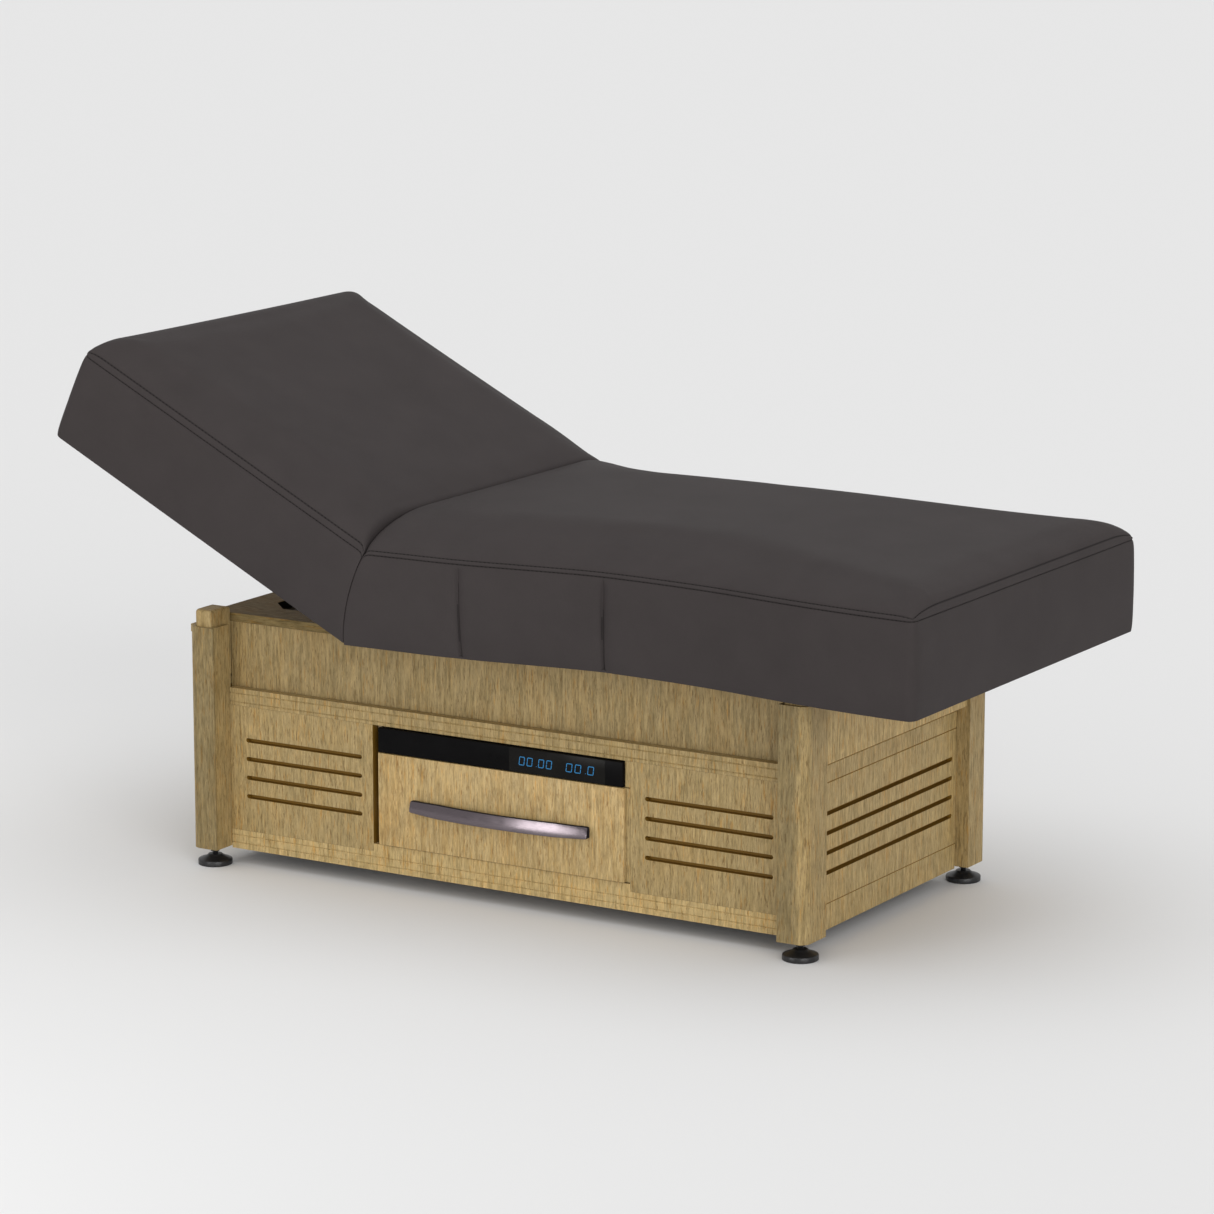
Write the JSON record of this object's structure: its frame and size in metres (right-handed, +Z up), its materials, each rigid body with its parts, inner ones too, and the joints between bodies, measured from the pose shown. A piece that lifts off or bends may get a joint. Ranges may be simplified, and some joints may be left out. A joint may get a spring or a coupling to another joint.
{
  "type": "spa treatment table",
  "caption": "Electric spa treatment table: wooden cabinet on levelling feet that lifts its top, a drawer, and a two-section charcoal mattress with a tilting back.",
  "frame": {"origin": "on the floor, under the middle of the box round the whole table with its back raised as pictured", "axes": "+X to the foot end, +Y away from the side with the drawer, +Z up"},
  "size_m": [1.7254, 0.8506, 0.9375],
  "materials": {
    "veneer": "pale ash veneer, satin, grain upright",
    "drawer_veneer": "the brightest pale ash veneer, satin",
    "board": "plain plywood and board",
    "upholstery": "charcoal vinyl, softly grained, double stitched",
    "black_plastic": "black, moulded",
    "display": "black pane with two blue readouts",
    "black_steel": "black powder coat",
    "bright_steel": "zinc plated or ground",
    "handle_metal": "dark nickel, brushed"
  },
  "bodies": {
    "base": {"corner_post_front_head": "veneer", "corner_post_front_foot": "veneer", "corner_post_rear_head": "veneer", "corner_post_rear_foot": "veneer", "front_top_rail": "veneer", "front_bottom_rail": "veneer", "front_vent_panel_head": "veneer", "front_vent_panel_foot": "veneer", "end_panel_head": "veneer", "end_panel_foot": "veneer", "rear_panel": "veneer", "power_inlet": "black_plastic", "base_frame": "black_steel", "lift_column_outer_head": "black_steel", "lift_column_outer_foot": "black_steel", "lift_motor_head": "black_plastic", "lift_motor_foot": "black_plastic", "drawer_case": "board", "drawer_runner_fixed_head": "bright_steel", "drawer_runner_fixed_foot": "bright_steel", "control_strip": "black_plastic", "control_display": "display", "control_box": "black_plastic"},
    "lift": {"guide_post_front_head": "veneer", "guide_post_front_foot": "veneer", "guide_post_rear_head": "veneer", "guide_post_rear_foot": "veneer", "shroud_front": "veneer", "shroud_rear": "veneer", "shroud_end_head": "veneer", "shroud_end_foot": "veneer", "drawer_alcove": "board", "top_board": "veneer", "lift_column_inner_head": "black_steel", "lift_column_inner_foot": "black_steel", "tilt_actuator": "black_plastic", "actuator_saddle": "black_steel", "hinge_bearing_front": "black_steel", "hinge_bearing_rear": "black_steel", "seat_rail_front": "black_steel", "seat_rail_rear": "black_steel", "seat_deck": "board", "seat_cushion": "upholstery"},
    "backrest": {"hinge_shaft": "bright_steel", "tilt_lever": "black_steel", "back_rail_front": "black_steel", "back_rail_rear": "black_steel", "back_deck": "board", "back_cushion": "upholstery", "back_cushion_fold": "upholstery"},
    "tilt_rod": {"actuator_rod": "bright_steel"},
    "drawer": {"drawer_front": "drawer_veneer", "drawer_handle": "handle_metal", "drawer_box": "board", "drawer_runner_moving_head": "bright_steel", "drawer_runner_moving_foot": "bright_steel"},
    "foot_front_head": {"levelling_foot_front_head": "black_plastic"},
    "foot_front_foot": {"levelling_foot_front_foot": "black_plastic"},
    "foot_rear_head": {"levelling_foot_rear_head": "black_plastic"},
    "foot_rear_foot": {"levelling_foot_rear_foot": "black_plastic"}
  },
  "joints": [
    {"name": "lift_slide", "type": "slide", "parent": "base", "child": "lift", "axis": [0, 0, 1], "range_m": [0, 0.25]},
    {"name": "backrest_tilt", "type": "hinge", "parent": "lift", "child": "backrest", "pos_m": [-0.23234, 0.00427, 0.478], "axis": [0, 1, 0], "range_deg": [-26.7, 38.3], "deforming": ["back_cushion_fold"]},
    {"name": "tilt_rod_slide", "type": "slide", "parent": "lift", "child": "tilt_rod", "axis": [-1, 0, 0], "range_m": [-0.0436, 0.0625]},
    {"name": "drawer_slide", "type": "slide", "parent": "base", "child": "drawer", "axis": [0, -1, 0], "range_m": [0, 0.26]},
    {"name": "foot_front_head_screw", "type": "slide", "parent": "base", "child": "foot_front_head", "axis": [0, 0, -1], "range_m": [0, 0.012]},
    {"name": "foot_front_foot_screw", "type": "slide", "parent": "base", "child": "foot_front_foot", "axis": [0, 0, -1], "range_m": [0, 0.012]},
    {"name": "foot_rear_head_screw", "type": "slide", "parent": "base", "child": "foot_rear_head", "axis": [0, 0, -1], "range_m": [0, 0.012]},
    {"name": "foot_rear_foot_screw", "type": "slide", "parent": "base", "child": "foot_rear_foot", "axis": [0, 0, -1], "range_m": [0, 0.012]}
  ],
  "couplings": [
    {"joint": "tilt_rod_slide", "follows": "backrest_tilt", "m_per_rad": 0.0932}
  ]
}
